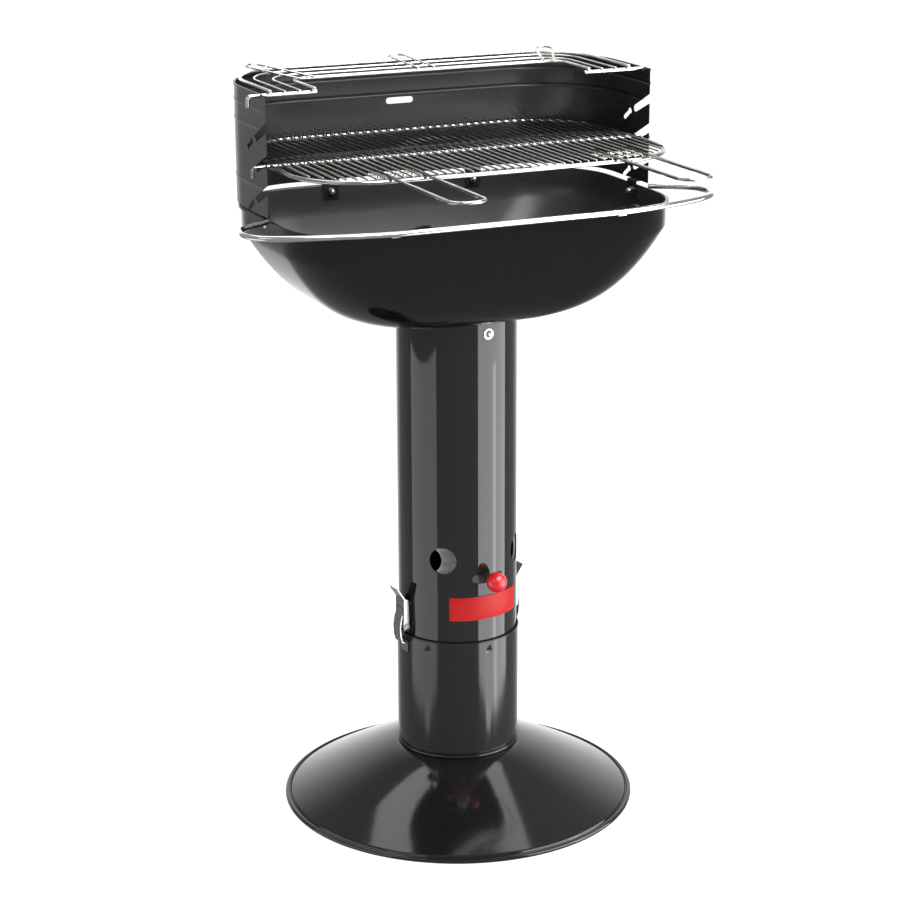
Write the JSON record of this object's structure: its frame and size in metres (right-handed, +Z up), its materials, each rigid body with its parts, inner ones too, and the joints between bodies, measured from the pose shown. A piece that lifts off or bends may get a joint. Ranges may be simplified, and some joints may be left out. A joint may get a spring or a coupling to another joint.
{
  "type": "charcoal grill",
  "caption": "Black enamelled charcoal grill on a round column with ash pot and damper, a deep oblong bowl, open-fronted windshield, wire cooking grid, warming rack and front rail",
  "frame": {"origin": "on the floor, in the middle of the base plate's foot ring, under the column's axis", "axes": "+Z up along the column, +X to the right seen from the front, -Y to the front"},
  "size_m": [0.6962, 0.6232, 1.0657],
  "materials": {
    "base_enamel": "gloss enamel",
    "pot_enamel": "gloss enamel",
    "column_enamel": "gloss enamel",
    "bowl_enamel": "gloss enamel",
    "shield_enamel": "satin-gloss enamel",
    "peg_enamel": "enamel",
    "plate_red": "gloss print, bare",
    "knob_red": "gloss",
    "black_plastic": "matt",
    "damper_zinc": "galvanised",
    "zinc": "zinc plated",
    "latch_steel": "bright plated",
    "grid_wire": "bright plated wire",
    "rack_wire": "bright plated wire",
    "rail_wire": "bright plated rod",
    "grate_iron": "dark wire"
  },
  "bodies": {
    "stand": {"base_plate": "base_enamel", "base_bolt": "zinc", "base_nut": "zinc", "ash_pot": "pot_enamel", "catches": "latch_steel", "column_tube": "column_enamel", "front_plate": "plate_red", "latch_plates": "latch_steel", "lever_pins": "latch_steel", "neck_bolts": "zinc", "neck_washers": "zinc", "neck_nuts": "zinc", "bowl": "bowl_enamel", "windshield": "shield_enamel", "shield_bolts": "zinc", "shield_nuts": "zinc", "rail": "rail_wire", "rail_lugs": "rail_wire", "rim_pegs": "peg_enamel"},
    "damper": {"damper_sleeve": "damper_zinc", "damper_stem": "zinc", "damper_bush": "black_plastic", "damper_knob": "knob_red", "damper_nut": "zinc"},
    "left_latch": {"left_lever": "latch_steel", "left_bail_pin": "latch_steel"},
    "left_hook": {"left_bail": "latch_steel"},
    "right_latch": {"right_lever": "latch_steel", "right_bail_pin": "latch_steel"},
    "right_hook": {"right_bail": "latch_steel"},
    "charcoal_grate": {"charcoal_rim": "grate_iron", "charcoal_wires": "grate_iron"},
    "cooking_grid": {"grid_frame": "grid_wire", "grid_wires": "grid_wire", "grid_crossbar": "grid_wire", "left_handle": "grid_wire", "right_handle": "grid_wire", "grid_ties": "grid_wire"},
    "warming_rack": {"rack_outer_wire": "rack_wire", "rack_thin_wires": "rack_wire", "rack_inner_wire": "rack_wire", "left_end_bar": "rack_wire", "right_end_bar": "rack_wire", "left_loop": "rack_wire", "middle_loop": "rack_wire", "right_loop": "rack_wire"}
  },
  "joints": [
    {"name": "damper_turn", "type": "hinge", "parent": "stand", "child": "damper", "pos_m": [0, 0, 0.355], "axis": [0, 0, 1], "range_deg": [-12, 12]},
    {"name": "left_lever_swing", "type": "hinge", "parent": "stand", "child": "left_latch", "pos_m": [-0.09091, -0.01036, 0.276], "axis": [0.1132, -0.9936, 0], "range_deg": [0, 80]},
    {"name": "left_hook_swing", "type": "hinge", "parent": "left_latch", "child": "left_hook", "pos_m": [-0.09141, -0.01042, 0.3], "axis": [0.1132, -0.9936, 0], "range_deg": [-90, 0]},
    {"name": "right_lever_swing", "type": "hinge", "parent": "stand", "child": "right_latch", "pos_m": [0.09091, 0.01036, 0.276], "axis": [-0.1132, 0.9936, 0], "range_deg": [0, 80]},
    {"name": "right_hook_swing", "type": "hinge", "parent": "right_latch", "child": "right_hook", "pos_m": [0.09141, 0.01042, 0.3], "axis": [-0.1132, 0.9936, 0], "range_deg": [-90, 0]},
    {"name": "charcoal_grate_lift", "type": "slide", "parent": "stand", "child": "charcoal_grate", "axis": [0, 0, 1], "range_m": [0, 0.12]},
    {"name": "cooking_grid_lift", "type": "slide", "parent": "stand", "child": "cooking_grid", "axis": [0, -0.8942, 0.4478], "range_m": [0, 0.08]},
    {"name": "warming_rack_lift", "type": "slide", "parent": "stand", "child": "warming_rack", "axis": [0, 0, 1], "range_m": [0, 0.1]}
  ],
  "couplings": [
    {"joint": "left_hook_swing", "follows": "left_lever_swing", "ratio": -1.1},
    {"joint": "right_hook_swing", "follows": "right_lever_swing", "ratio": -1.1}
  ]
}
